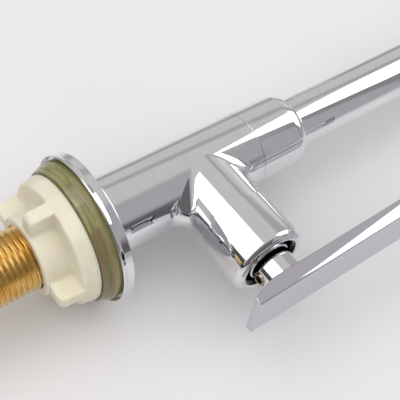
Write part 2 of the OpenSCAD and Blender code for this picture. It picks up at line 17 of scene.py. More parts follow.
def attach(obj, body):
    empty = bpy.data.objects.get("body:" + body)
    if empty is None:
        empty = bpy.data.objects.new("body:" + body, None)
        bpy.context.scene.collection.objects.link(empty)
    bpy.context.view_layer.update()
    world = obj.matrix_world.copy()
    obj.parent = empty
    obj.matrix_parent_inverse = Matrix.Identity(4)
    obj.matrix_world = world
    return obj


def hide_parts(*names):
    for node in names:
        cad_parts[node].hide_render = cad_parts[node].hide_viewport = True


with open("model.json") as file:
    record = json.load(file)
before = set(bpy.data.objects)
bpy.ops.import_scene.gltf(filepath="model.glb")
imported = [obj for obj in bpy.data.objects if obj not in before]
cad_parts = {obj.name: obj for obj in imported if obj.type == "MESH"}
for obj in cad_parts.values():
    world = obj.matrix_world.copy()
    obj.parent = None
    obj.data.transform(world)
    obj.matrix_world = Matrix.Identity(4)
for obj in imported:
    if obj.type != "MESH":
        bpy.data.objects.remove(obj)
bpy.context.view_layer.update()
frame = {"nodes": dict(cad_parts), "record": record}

MM = 0.001
# Points of a piece that round to the same multiple of this become one
WELD = 0.0002

# Body, collar and branch; the body's skin stops SKIN_STOP short of its foot, seam and branch end
BODY_R = 13.35
FOOT_Z = 10.0
SEAM_Z = 70.6
BRANCH_Z = 49.5
BRANCH_R = 13.0
BRANCH_LEN = 23.4
FILLET_R = 5.6
SKIN_STOP = 2.0
NECK_R = 11.8
COLLAR_BORE_R = 11.9
COLLAR_TOP = 91.8

# Gooseneck and outlet
TUBE_R = 9.6
TUBE_WALL = 0.9
TUBE_FOOT_Z = 84.0
BEND_Z = 225.0
BEND_R = 78.0
TUBE_END_Z = 209.0
OUTLET_X = -156.0

# Branch end, hub and blade, along X
SLEEVE_R = 13.5
SLEEVE_BORE_R = 12.05
SLEEVE_END = 42.2
NOSE_R = 2.35
HUB_R = 7.05
SCREW_X = 44.75
BLADE_X = 49.7
BLADE_T = 5.3
BLADE_LOW = 32.7
BLADE_HIGH = 141.5

# Brass tail
THREAD_R = 10.4775
PITCH = 1.814
END_CHAMFER = 1.2
SHANK_BORE_R = 7.5
SHANK_LOW = -58.0
SHANK_TOP = 20.2

# Gasket and base disc
GASKET_TOP = 6.8
BASE_BORE_R = 11.0

# Table
TABLE_Y = 26.2


# Surfaces

def unit(vectors):
    """Vectors divided by their length; a vector of no length stays as it is."""
    length = np.linalg.norm(vectors, axis=-1, keepdims=True)
    return vectors / np.where(length > 1e-12, length, 1)


def chord_normals(points, wrap_rows=False):
    """Normal of a grid at each point: the cross product of the chords that join its two
    neighbours along the rows and its two neighbours along the columns, which close."""
    def chord(axis, wrap):
        """From the point before to the point after, round the seam where the grid closes."""
        ahead, behind = np.roll(points, -1, axis), np.roll(points, 1, axis)
        first, last = [slice(None)] * 3, [slice(None)] * 3
        first[axis], last[axis] = slice(0, 1), slice(-1, None)
        first, last = tuple(first), tuple(last)
        if wrap:
            second, before = [slice(None)] * 3, [slice(None)] * 3
            second[axis], before[axis] = slice(1, 2), slice(-2, -1)
            ahead[last] = points[tuple(second)]
            behind[first] = points[tuple(before)]
        else:
            ahead[last], behind[first] = points[last], points[first]
        return ahead - behind
    return unit(np.cross(chord(0, wrap_rows), chord(1, True)))


def rounded(corners, closed=True, steps=6):
    """Profile through corners (x, y, radius): straight runs joined by arcs that touch both runs.
    With corner c, unit runs a and b away from it and half angle h between them, the arc's centre
    is c + (a + b) / |a + b| * radius / sin h, and it sweeps 180 degrees less the corner."""
    out = []
    count = len(corners)
    for i, (x, y, radius) in enumerate(corners):
        corner = np.array([x, y], float)
        if radius == 0 or (not closed and i in (0, count - 1)):
            out.append(corner[None])
            continue
        a = unit(np.array(corners[i - 1][:2], float) - corner)
        b = unit(np.array(corners[(i + 1) % count][:2], float) - corner)
        half = math.acos(np.clip(a @ b, -1, 1)) / 2
        centre = corner + unit(a + b) * radius / math.sin(half)
        start = corner + a * radius / math.tan(half) - centre
        sweep = math.pi - 2 * half
        if a[0] * b[1] - a[1] * b[0] > 0:
            sweep = -sweep
        t = np.linspace(0, sweep, steps + 1)[:, None]
        out.append(centre + np.cos(t) * start
                   + np.sin(t) * np.array([[-start[1], start[0]]]))
    points = np.concatenate(out)
    return np.concatenate([points, points[:1]]) if closed else points


def refine(profile, step):
    """The same profile with its long runs cut into equal parts no longer than step."""
    out = [profile[:1]]
    for a, b in zip(profile[:-1], profile[1:]):
        parts = max(1, math.ceil(np.linalg.norm(b - a) / step))
        t = np.linspace(0, 1, parts + 1)[1:, None]
        out.append(a + (b - a) * t)
    return np.concatenate(out)


def upright(points):
    """Leaves a shape where it was drawn, round the body's centre line."""
    return points


def along_branch(points):
    """Turns a shape drawn round +Z to lie along the branch: (x, y, z) goes to
    (z, -y, branch height + x)."""
    x, y, z = np.moveaxis(points, -1, 0)
    return np.stack([z, -y, BRANCH_Z + x], -1)


def at_outlet(points):
    """Moves a shape drawn round +Z on to the outlet's centre line."""
    return points + np.array([OUTLET_X, 0, 0])


def turned(profile, place=upright, cols=96, closed=True):
    """Surface of revolution: the profile's point (r, h) at angle u is (r cos u, r sin u, h)."""
    u = np.linspace(0, 2 * math.pi, cols + 1)[None, :]
    r, h = profile[:, :1], profile[:, 1:]
    points = place(np.stack([r * np.cos(u), r * np.sin(u), h + 0 * u], -1))
    return points, chord_normals(points, wrap_rows=closed)


def swept(profile, path, cols=96):
    """Tube: the profile's point (r, s) at angle u is c(s) + r (cos u e1(s) + sin u e2(s)), where
    path gives the centre line c and its two cross directions e1 and e2 at length s."""
    u = np.linspace(0, 2 * math.pi, cols + 1)[None, :, None]
    centre, e1, e2 = (a[:, None, :] for a in path(profile[:, 1]))
    points = centre + profile[:, :1, None] * (np.cos(u) * e1 + np.sin(u) * e2)
    return points, chord_normals(points, wrap_rows=True)


def piece(name, patches, material, body, slot, *nodes):
    """One closed mesh from grids of (points, normals). Cells of each grid become quads, points in
    the same place become one, with the mean of their normals, and a cell that so loses a corner
    becomes a triangle. The faces are then all turned to look outwards. The piece rides its body,
    takes the material and replaces its CAD nodes; the slot is not used."""
    points, normals, cells, start = [], [], [], 0
    for grid, grid_normals in patches:
        rows, cols = grid.shape[:2]
        index = start + np.arange(rows * cols).reshape(rows, cols)
        cells.append(np.stack([index[:-1, :-1], index[1:, :-1], index[1:, 1:],
                               index[:-1, 1:]], -1).reshape(-1, 4))
        points.append(grid.reshape(-1, 3))
        normals.append(grid_normals.reshape(-1, 3))
        start += rows * cols
    points, normals = np.concatenate(points), np.concatenate(normals)
    _, first, merged = np.unique(np.round(points / WELD).astype(np.int64), axis=0,
                                 return_index=True, return_inverse=True)
    merged = merged.reshape(-1)
    cells = merged[np.concatenate(cells)]
    co = points[first]
    # A cell with fewer than three corners left, or folded on itself, goes
    keep = cells != np.roll(cells, -1, axis=1)
    whole = (keep.sum(1) >= 3) & (cells[:, 0] != cells[:, 2]) & (cells[:, 1] != cells[:, 3])
    cells, keep = cells[whole], keep[whole]

    mesh = bpy.data.meshes.new(name)
    totals = keep.sum(1)
    mesh.vertices.add(len(co))
    mesh.vertices.foreach_set("co", (co * MM).astype(np.float32).ravel())
    mesh.loops.add(int(totals.sum()))
    mesh.loops.foreach_set("vertex_index", cells[keep].astype(np.int32))
    mesh.polygons.add(len(cells))
    mesh.polygons.foreach_set("loop_start",
                              (np.cumsum(totals) - totals).astype(np.int32))
    mesh.update(calc_edges=True)
    mesh.validate()
    shell = bmesh.new()
    shell.from_mesh(mesh)
    bmesh.ops.recalc_face_normals(shell, faces=shell.faces)
    shell.to_mesh(mesh)
    shell.free()
    mesh.polygons.foreach_set("use_smooth", np.ones(len(mesh.polygons), bool))
    facing = np.empty(3 * len(co), np.float32)
    mesh.vertex_normals.foreach_get("vector", facing)
    facing, mean = facing.reshape(-1, 3), np.zeros_like(co)
    turned_over = (normals * facing[merged]).sum(1, keepdims=True) < 0
    np.add.at(mean, merged, np.where(turned_over, -normals, normals))
    # On a knife edge the mean is short, and the mesh's own normal takes its place
    weak = np.linalg.norm(mean, axis=1, keepdims=True) < 0.3
    mesh.normals_split_custom_set_from_vertices(unit(np.where(weak, facing, mean)))
    mesh.materials.append(material)
    thing = bpy.data.objects.new(name, mesh)
    bpy.context.scene.collection.objects.link(thing)
    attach(thing, body)
    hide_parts(*nodes)


# Materials

# The values between which most of a noise lies
NOISE_SPAN = (0.35, 0.65)


def linear(code):
    """Linear red, green and blue of an sRGB hex colour."""
    parts = [int(code[i:i + 2], 16) / 255 for i in (1, 3, 5)]
    return [c / 12.92 if c <= 0.04045 else ((c + 0.055) / 1.055) ** 2.4 for c in parts] + [1]


def add(tree, kind, inputs=(), out=0, **settings):
    """Adds one node with its settings and gives one of its outputs, or none where out is None.
    Inputs come as a list in the node's order or by name or number: a socket is linked and a
    value is set. A MapRange takes a value, its range from and to, and the range it goes to, which
    is 0 to 1 if left out. A Mix of colours has them as 6 and 7 and gives 2; one of plain values
    has them as 2 and 3 and gives 0."""
    made = tree.nodes.new("ShaderNode" + kind)
    for key, value in settings.items():
        setattr(made, key, value)
    for key, value in inputs.items() if isinstance(inputs, dict) else enumerate(inputs):
        if isinstance(value, bpy.types.NodeSocket):
            tree.links.new(value, made.inputs[key])
        else:
            made.inputs[key].default_value = value
    return None if out is None else made.outputs[out]


def new_material(name):
    """A material, its empty node tree and the object's own coordinates there."""
    material = bpy.data.materials.new(name)
    material.use_nodes = True
    tree = material.node_tree
    tree.nodes.clear()
    return material, tree, add(tree, "TexCoord", out="Object")


def coated(material, tree, inputs):
    """The material, closed with a shader that has these inputs."""
    shader = add(tree, "BsdfPrincipled", inputs)
    add(tree, "OutputMaterial", {"Surface": shader}, None)
    return material


def mottle(tree, value, low, high, span=NOISE_SPAN):
    """Two colours by a pattern: the first below its span of values, the second above it, and
    mixed evenly over it."""
    share = add(tree, "MapRange", [value, *span])
    return add(tree, "Mix", {0: share, 6: linear(low), 7: linear(high)}, 2, data_type="RGBA")


def product(tree, *values):
    """Product of some values."""
    total = values[0]
    for value in values[1:]:
        total = add(tree, "Math", [total, value], operation="MULTIPLY")
    return total


def band(tree, value, low, high, soft):
    """1 while a value lies between two edges and 0 outside them, or 1 all the way up where high
    is None. Each edge is soft over that much on either side."""
    smooth = {"interpolation_type": "SMOOTHSTEP"}
    above = add(tree, "MapRange", [value, low - soft, low + soft], **smooth)
    if high is None:
        return above
    below = add(tree, "MapRange", [value, high - soft, high + soft, 1.0, 0.0], **smooth)
    return product(tree, above, below)


def off_line(tree, where, across, through=(0, 0, 0)):
    """Distance from a line along an axis: across is 0 on that axis and 1 on the others, and
    through is a point of the line in millimetres, which is 0 on that axis."""
    flat = add(tree, "VectorMath", [where, across], operation="MULTIPLY")
    return add(tree, "VectorMath", [flat, [c * MM for c in through]], "Value",
               operation="DISTANCE")


def plated_chrome():
    """Chromium plate over polished brass: a mirror with a cool tint. Buffing leaves swells some 9
    mm long and under a micron high, and handling leaves faint smears some 4 mm wide. The blade is
    tinted a shade darker, and painted shade makes the sleeve's mouth round the hub black."""
    material, tree, where = new_material("polished_chrome_plate")
    smear = add(tree, "TexNoise", {"Vector": where, "Scale": 1 / (4 * MM), "Detail": 3.0})
    swell = add(tree, "TexNoise", {"Vector": where, "Scale": 1 / (9 * MM), "Detail": 0.0})
    plate = mottle(tree, smear, "#E6E6E9", "#EAEAEC")
    out = add(tree, "SeparateXYZ", [where], "X")
    # The blade begins at its back face; the hub, also on this piece, stays bright
    on_blade = add(tree, "MapRange", [out, (BLADE_X - 0.2) * MM, (BLADE_X + 0.2) * MM])
    plate = add(tree, "Mix", {0: on_blade, 6: plate, 7: linear("#CBCAD2")}, 2, data_type="RGBA")
    off_branch = off_line(tree, where, (0, 1, 1), (0, 0, BRANCH_Z))
    # Painted shade: the mouth, a ring round the hub in from the end of the sleeve, is painted
    # black
    painted_mouth_shade = product(tree, band(tree, off_branch, 7.75 * MM, 10.2 * MM, 0.1 * MM),
                    band(tree, out, 36 * MM, 43 * MM, 0.1 * MM))
    return coated(material, tree, {
        "Base Color": add(tree, "Mix", {0: painted_mouth_shade, 6: plate, 7: linear("#100E12")}, 2,
                          data_type="RGBA"),
        "Roughness": add(tree, "MapRange", [smear, *NOISE_SPAN, 0.015, 0.05]),
        "Normal": add(tree, "Bump", {"Height": swell, "Distance": 0.004 * MM, "Strength": 1.0}),
        "Metallic": 1.0})


def turned_brass():
    """Free-cutting brass, thread-rolled and handled: golden metal, browner where tarnish gathers
    in patches some 7 mm long, with the tool's fine rings, drawn 0.3 mm apart to show. Out in the
    handle branch it is painted dark as shade, which makes the gap round the hub look black."""
    material, tree, where = new_material("turned_brass")
    patch = add(tree, "TexNoise", {"Vector": where, "Scale": 1 / (7 * MM), "Detail": 3.0})
    metal = mottle(tree, patch, "#E2BA72", "#F0D89C")
    # 3300 rings to the metre along the tail, drawn out round it
    along = add(tree, "VectorMath", [where, (150, 150, 3300)], operation="MULTIPLY")
    rings = add(tree, "TexNoise", {"Vector": along, "Scale": 1.0, "Detail": 1.0})
    # Painted shade darkens the branch, setting in over 10 mm of it
    painted_branch_shade = add(tree, "MapRange", [add(tree, "SeparateXYZ", [where], "X"), 14 * MM, 24 * MM])
    return coated(material, tree, {
        "Base Color": add(tree, "Mix", {0: painted_branch_shade, 6: metal, 7: linear("#2A231B")}, 2,
                          data_type="RGBA"),
        "Roughness": add(tree, "MapRange", [rings, *NOISE_SPAN, 0.24, 0.3]),
        "Normal": add(tree, "Bump", {"Height": rings, "Distance": 0.01 * MM, "Strength": 0.1}),
        "Metallic": 1.0})


def moulded_nylon():
    """Natural nylon, injection moulded: cream, a little see-through at its edges, with a soft
    gloss, faint flow clouds some 8 mm long and a spark-eroded grain drawn at 0.4 mm to show."""
    material, tree, where = new_material("natural_nylon_moulding")
    cloud = add(tree, "TexNoise", {"Vector": where, "Scale": 1 / (8 * MM), "Detail": 3.0})
    grain = add(tree, "TexNoise", {"Vector": where, "Scale": 1 / (0.4 * MM), "Detail": 1.0})
    return coated(material, tree, {
        "Base Color": mottle(tree, cloud, "#E6DFC6", "#EEE8D6"),
        "Roughness": add(tree, "MapRange", [cloud, *NOISE_SPAN, 0.34, 0.46]),
        "Normal": add(tree, "Bump", {"Height": grain, "Distance": 0.01 * MM, "Strength": 0.4}),
        "IOR": 1.53, "Subsurface Weight": 0.6, "Subsurface Scale": 2.0 * MM,
        "Subsurface Radius": (1.0, 0.85, 0.45)})


def olive_gasket():
    """Soft PVC gasket, moulded: olive and glassy, with darker and paler bands 1 to 2 mm wide that
    the flow drew out round the ring, and that the plain gloss of the mould leaves clear to see.
    On the half next to the deck a painted brown reflection of the nut follows the bands in
    patches some 14 mm long."""
    material, tree, where = new_material("olive_pvc_gasket")
    height = add(tree, "SeparateXYZ", [where], "Z")
    across = add(tree, "CombineXYZ", [off_line(tree, where, (1, 1, 0)), height])
    # Bands to the metre, across the ring and up it
    bands = add(tree, "VectorMath", [across, (900, 700, 0)], operation="MULTIPLY")
    drift = add(tree, "TexNoise", {"Vector": where, "Scale": 1 / (14 * MM), "Detail": 1.0})
    shifted = add(tree, "VectorMath", [bands, drift.node.outputs["Color"]], operation="ADD")
    streak = add(tree, "TexNoise", {"Vector": shifted, "Scale": 1.0, "Detail": 2.0})
    olive = mottle(tree, streak, "#6C6C3F", "#A09B6C")
    # Painted reflection of the nut: patches of the drift, in the lower half, and strongest on the
    # paler bands
    painted_nut_reflection = product(tree, add(tree, "MapRange", [drift, 0.46, 0.56, 0.0, 0.8]),
                    add(tree, "MapRange", [height, 2.5 * MM, 4.5 * MM, 1.0, 0.0]),
                    add(tree, "MapRange", [streak, 0.42, 0.55, 0.15, 1.0]))
    return coated(material, tree, {
        "Base Color": add(tree, "Mix", {0: painted_nut_reflection, 6: olive, 7: linear("#7E6448")}, 2,
                          data_type="RGBA"),
        "Roughness": add(tree, "MapRange", [drift, *NOISE_SPAN, 0.12, 0.26]),
        "IOR": 1.54, "Subsurface Weight": 0.5, "Subsurface Scale": 1.5 * MM,
        "Subsurface Radius": (1.0, 0.9, 0.4)})


def worn_nickel():
    """Nickel plate worn on a steel set screw: dull grey-brown metal, rubbed bright in specks some
    0.6 mm across, and black inside its socket."""
    material, tree, where = new_material("worn_nickel_plate")
    speck = add(tree, "TexNoise", {"Vector": where, "Scale": 1 / (0.6 * MM), "Detail": 3.0})
    metal = mottle(tree, speck, "#8A7A66", "#D3C7B3")
    off_screw = off_line(tree, where, (1, 1, 0), (SCREW_X, 0, 0))
    # Black up to the edge of the socket, metal outside it
    outside_socket = add(tree, "MapRange", [off_screw, 1.48 * MM, 1.56 * MM])
    return coated(material, tree, {
        "Base Color": add(tree, "Mix", {0: outside_socket, 6: linear("#1C150F"), 7: metal}, 2,
                          data_type="RGBA"),
        "Roughness": add(tree, "MapRange", [speck, *NOISE_SPAN, 0.25, 0.45]),
        "Metallic": outside_socket})


def black_rubber():
    """Nitrile rubber, moulded: black and dull, with a bloom of grey some 1.5 mm across."""
    material, tree, where = new_material("moulded_nitrile_rubber")
    bloom = add(tree, "TexNoise", {"Vector": where, "Scale": 1 / (1.5 * MM), "Detail": 3.0})
    return coated(material, tree, {
        "Base Color": mottle(tree, bloom, "#161616", "#242424"),
        "Roughness": add(tree, "MapRange", [bloom, *NOISE_SPAN, 0.45, 0.7]), "IOR": 1.52})


def white_acetal():
    """Acetal, moulded: milk white with a waxy gloss that varies over some 3 mm."""
    material, tree, where = new_material("moulded_acetal")
    wax = add(tree, "TexNoise", {"Vector": where, "Scale": 1 / (3 * MM), "Detail": 2.0})
    return coated(material, tree, {
        "Base Color": mottle(tree, wax, "#DEDDD6", "#EAE9E4"),
        "Roughness": add(tree, "MapRange", [wax, *NOISE_SPAN, 0.3, 0.45]),
        "IOR": 1.48, "Subsurface Weight": 0.3, "Subsurface Scale": 1.0 * MM})


def red_fibre():
    """Vulcanised fibre, stamped: brick red and matt, with paper fibres some 1 mm long."""
    material, tree, where = new_material("vulcanised_fibre")
    fibre = add(tree, "TexNoise", {"Vector": where, "Scale": 1 / (1 * MM), "Detail": 5.0})
    return coated(material, tree, {
        "Base Color": mottle(tree, fibre, "#6E2A1C", "#93412C"),
        "Roughness": add(tree, "MapRange", [fibre, *NOISE_SPAN, 0.6, 0.85])})


def lapped_alumina():
    """Alumina, lapped: white, dense and almost mirror flat, with pores drawn at 0.5 mm to
    show."""
    material, tree, where = new_material("lapped_alumina")
    pore = add(tree, "TexVoronoi", {"Vector": where, "Scale": 1 / (0.5 * MM)}, "Distance")
    return coated(material, tree, {
        "Base Color": mottle(tree, pore, "#D9D6CE", "#F0EEE8", (0.05, 0.3)),
        "Roughness": add(tree, "MapRange", [pore, 0.0, 0.5, 0.3, 0.12]), "IOR": 1.76})


def plain_steel():
    """Stainless steel, rolled: grey metal with fine lines along the rolling, 0.3 mm apart."""
    material, tree, where = new_material("rolled_stainless_steel")
    # Lines to the metre, drawn out along the rolling
    stretched = add(tree, "VectorMath", [where, (3300, 400, 3300)], operation="MULTIPLY")
    lines = add(tree, "TexNoise", {"Vector": stretched, "Scale": 1.0})
    return coated(material, tree, {
        "Base Color": mottle(tree, lines, "#A9A8A6", "#C6C5C3"),
        "Roughness": add(tree, "MapRange", [lines, *NOISE_SPAN, 0.2, 0.35]), "Metallic": 1.0})


FINISHES = {
    "chrome": plated_chrome(),
    "brass": turned_brass(),
    "nut_plastic": moulded_nylon(),
    "gasket_rubber": olive_gasket(),
    "screw_nickel": worn_nickel(),
    "black_rubber": black_rubber(),
    "white_plastic": white_acetal(),
    "fibre": red_fibre(),
    "ceramic_white": lapped_alumina(),
    "steel": plain_steel(),
}


# Pieces

def body_skin(cols=512, rows=48):
    """Outside of the body with its branch, as one grid whose columns run round the branch.
    Each column starts on the edge of the body's unrolled wall, (angle, z) on a rectangle, and
    goes straight to the line where the fillet meets the body, with its rows closer together
    there; it then turns over the rolling ball's arc, centre c at ((Rb + f)^2 - y^2)^0.5, y, z
    with (y, z) = (R + f)(sin a, cos a), on to the branch, and runs out along it. Normals are
    those of cylinder, ball and cylinder."""
    arc_rows, run_rows = 12, 9
    low, high = FOOT_Z + SKIN_STOP, SEAM_Z - SKIN_STOP
    side = cols // 4
    t = np.arange(side) / side
    ones = np.ones(side)
    edge = np.concatenate([
        np.stack([(2 * t - 1) * math.pi, high * ones], 1),
        np.stack([math.pi * ones, high + (low - high) * t], 1),
        np.stack([(1 - 2 * t) * math.pi, low * ones], 1),
        np.stack([-math.pi * ones, low + (high - low) * t], 1)])
    edge = np.concatenate([edge, edge[:1]])
    a = (np.arange(cols + 1) / cols * 2 - 0.25) * math.pi
    reach = BRANCH_R + FILLET_R
    y, z = reach * np.sin(a), reach * np.cos(a)
    ball = np.stack([np.sqrt((BODY_R + FILLET_R) ** 2 - y ** 2), y, z + BRANCH_Z], 1)
    rim = np.stack([np.arctan2(ball[:, 1], ball[:, 0]), ball[:, 2]], 1)
    s = np.linspace(0, 1, rows)[:, None, None] ** 0.8
    unrolled = edge + (rim - edge) * s
    radial = np.stack([np.cos(unrolled[..., 0]), np.sin(unrolled[..., 0]),
                       0 * unrolled[..., 0]], -1)
    wall = BODY_R * radial + unrolled[..., 1:] * np.array([0, 0, 1])
    to_body = -radial[-1]
    to_branch = np.stack([0 * a, -np.sin(a), -np.cos(a)], 1)
    t = np.linspace(0, 1, arc_rows + 1)[1:, None, None]
    angle = np.arccos(np.clip((to_body * to_branch).sum(1), -1, 1))[:, None]
    spoke = (np.sin((1 - t) * angle) * to_body + np.sin(t * angle) * to_branch) / np.sin(angle)
    turn = ball + FILLET_R * spoke
    out = np.linspace(0, 1, run_rows + 1)[1:, None]
    x = turn[-1][:, 0] + (BRANCH_LEN - SKIN_STOP - turn[-1][:, 0]) * out
    run = np.stack([x, BRANCH_R * np.sin(a) + 0 * x,
                    BRANCH_Z + BRANCH_R * np.cos(a) + 0 * x], -1)
    points = np.concatenate([wall, turn, run])
    normals = np.concatenate([radial, -spoke, np.broadcast_to(-to_branch, run.shape)])
    return points, normals


def tap_body():
    """The cast body: its skin, and the turned faces and bores at the foot, top and branch. Each
    bore has a seat's radius and floor and, at the foot, a narrower waterway beyond it."""
    tail_r, tail_top, water_r, water_top = 10.53, 21.9, 6.5, 52.5
    neck_top, stem_r, stem_low = 78.9, 8.55, 60
    spigot_r, spigot_end, valve_r, valve_low = 11.85, 28.9, 10.5, 12
    foot = [(BODY_R, FOOT_Z + SKIN_STOP, 0), (BODY_R, FOOT_Z, 0.3), (tail_r, FOOT_Z, 0.2),
            (tail_r, tail_top, 0.1), (water_r, tail_top, 0.1), (water_r, water_top, 0.3),
            (0, water_top, 0)]
    top = [(BODY_R, SEAM_Z - SKIN_STOP, 0), (BODY_R, SEAM_Z, 0.1), (NECK_R, SEAM_Z, 0.1),
           (NECK_R, neck_top, 0.3), (stem_r, neck_top, 0.2), (stem_r, stem_low, 0.2),
           (0, stem_low, 0)]
    end = [(BRANCH_R, BRANCH_LEN - SKIN_STOP, 0), (BRANCH_R, BRANCH_LEN, 0.08),
           (spigot_r, BRANCH_LEN, 0.1), (spigot_r, spigot_end, 0.3), (valve_r, spigot_end, 0.2),
           (valve_r, valve_low, 0.2), (0, valve_low, 0)]
    return [body_skin()] + [
        turned(refine(rounded(corners, closed=False), 4), place, cols, closed=False)
        for corners, place, cols in ((foot, upright, 128), (top, upright, 128),
                                     (end, along_branch, 512))]


def gooseneck_line(s):
    """Centre line of the spout tube by its length s: up to the bend, round half a circle of the
    bend's radius towards -X, and down; with the directions across it."""
    bend = np.clip((s - BEND_Z) / BEND_R, 0, math.pi)
    rest = np.clip(s - BEND_Z - math.pi * BEND_R, 0, None)
    zero = 0 * s
    centre = np.stack([-BEND_R + BEND_R * np.cos(bend), zero,
                       np.minimum(s, BEND_Z) + BEND_R * np.sin(bend) - rest], 1)
    e1 = np.stack([np.cos(bend), zero, np.sin(bend)], 1)
    e2 = np.stack([zero, zero + 1, zero], 1)
    return centre, e1, e2


def spout_tube():
    """Drawn tube: outside from foot to outlet, round the end, and back inside."""
    end, inside = BEND_Z + math.pi * BEND_R + BEND_Z - TUBE_END_Z, TUBE_R - TUBE_WALL
    profile = rounded([(TUBE_R, TUBE_FOOT_Z, 0.3), (TUBE_R, end, 0.3), (inside, end, 0.3),
                       (inside, TUBE_FOOT_Z, 0.3)], steps=4)
    return [swept(refine(profile, 3.5), gooseneck_line, 96)]


def thread_wave(turns):
    """Height of a pipe thread, 0 at the root and 1 at the crest, by how far along one pitch: a
    triangle wave, stretched by 1.28 about its middle so that crest and root are cut flat, and
    raised to the power 1.15, which rounds the root."""
    part = np.abs((turns % 1) - 0.5) * 2
    return np.clip(part * 1.28 - 0.14, 0, 1) ** 1.15


def inlet_shank():
    """Brass tail: the outside point at angle u and height z has radius
    crest - depth (1 - wave(z / pitch - u / 2 pi)), and the ends are cut off with a chamfer."""
    cols, rows_a_pitch, depth = 72, 14, 0.64 * PITCH
    z = np.arange(SHANK_LOW, SHANK_TOP, PITCH / rows_a_pitch)
    z = np.concatenate([z, [SHANK_TOP]])[:, None]
    u = np.linspace(0, 2 * math.pi, cols + 1)[None, :]
    radius = THREAD_R - depth * (1 - thread_wave(z / PITCH - u / (2 * math.pi)))
    from_end = np.minimum(z - SHANK_LOW, SHANK_TOP - z)
    radius = np.minimum(radius, THREAD_R - END_CHAMFER + from_end)
    outside = np.stack([radius * np.cos(u), radius * np.sin(u), z + 0 * u], -1)
    end_r = THREAD_R - END_CHAMFER
    bore = rounded([(end_r, SHANK_TOP, 0), (SHANK_BORE_R, SHANK_TOP, 0.25),
                    (SHANK_BORE_R, SHANK_LOW, 0.25), (end_r, SHANK_LOW, 0)], closed=False)
    inside, normals = turned(refine(bore, 8), cols=cols, closed=False)
    return [(outside, chord_normals(outside)), (inside, normals)]


def evenly(corners, count=72):
    """A rounded open profile through corners, as count points evenly spaced."""
    line = rounded(corners, False, 10)
    far = np.concatenate([[0], np.cumsum(np.linalg.norm(np.diff(line, axis=0), axis=1))])
    at = np.linspace(0, far[-1], count)
    return np.stack([np.interp(at, far, line[:, 0]), np.interp(at, far, line[:, 1])], 1)


def lock_nut():
    """Moulded nut. Two profiles with as many points run round its section, one through a bay and
    one through a lug, and share their bore, rim and boss face. Where they part, the point at
    share q between them is lug + (bay - lug) q. Across a lug the columns keep an even distance d
    from its middle plane, so its flanks are flat; an arc of radius e takes the lug's edge,
    q L = e (1 - cos t) and d = half - e + e sin t, and another takes the root in the bay,
    q L = L - e (1 - sin t) and d = half + e (1 - cos t), with e no more than a part of the
    distance L between the two profiles. The nut stands two degrees round from its axes."""
    boss, lug, flange_z, low, bore = 13.2, 20.4, -5.6, -13.9, 10.55
    half, lug_edge, bay_root, stands = 2.4, 0.9, 1.1, math.radians(2)
    start, end = (20.75, -4.4, 0), (boss, low + 0.9, 0)
    shared = refine(rounded([end, (boss, low, 0.8), (bore, low, 0.3), (bore, 0, 0.3),
                             (21.4, 0, 0.6), (21.35, -1.6, 0.9), start], False, 5), 1.5)
    bay = evenly([start, (lug + 0.1, flange_z, 1.0), (boss, flange_z, 1.6), end])
    tab = evenly([start, (lug, flange_z - 0.6, 3.0), (lug - 0.2, low + 0.5, 2.2),
                  (boss + 0.9, low + 0.4, 0.6), end])
    bay = np.concatenate([shared, bay[1:]])
    tab = np.concatenate([shared, tab[1:]])
    apart = np.linalg.norm(bay - tab, axis=1)[None, :]
    edge = np.minimum(lug_edge, apart * 0.4)
    root = np.minimum(bay_root, apart * 0.45)
    t = np.linspace(0, math.pi / 2, 7)[:, None]
    share = np.concatenate([[0 * edge[0]] * 2, edge * (1 - np.cos(t)),
                            apart - root * (1 - np.sin(t))]) / np.maximum(apart, 1e-6)
    offset = np.concatenate([[0 * edge[0]], (half - edge) * 0.6, half - edge + edge * np.sin(t),
                             half + root * (1 - np.cos(t))])
    section = tab + (bay - tab) * share[..., None]
    radius, height = section[..., 0], section[..., 1]
    angle = np.arcsin(np.clip(offset / radius, -1, 1))
    # On over the bay to the middle between two lugs
    gap = np.linspace(0, 1, 12)[1:, None]
    span = angle[-1] + (math.pi / 4 - angle[-1]) * gap
    angle = np.concatenate([angle, span])
    radius = np.concatenate([radius, bay[:, 0] + 0 * span])
    height = np.concatenate([height, bay[:, 1] + 0 * span])
    # The same mirrored to the next lug, and the quarter four times round
    back = slice(-2, None, -1)
    angle = np.concatenate([angle, math.pi / 2 - angle[back]])
    radius = np.concatenate([radius, radius[back]])
    height = np.concatenate([height, height[back]])
    angle = np.concatenate([angle[:-1] + i * math.pi / 2 for i in range(4)]
                           + [angle[:1] + 2 * math.pi]) + stands
    radius = np.concatenate([radius[:-1]] * 4 + [radius[:1]])
    height = np.concatenate([height[:-1]] * 4 + [height[:1]])
    points = np.stack([radius * np.cos(angle), radius * np.sin(angle), height], -1)
    points = points.transpose(1, 0, 2)
    return [(points, chord_normals(points, wrap_rows=True))]


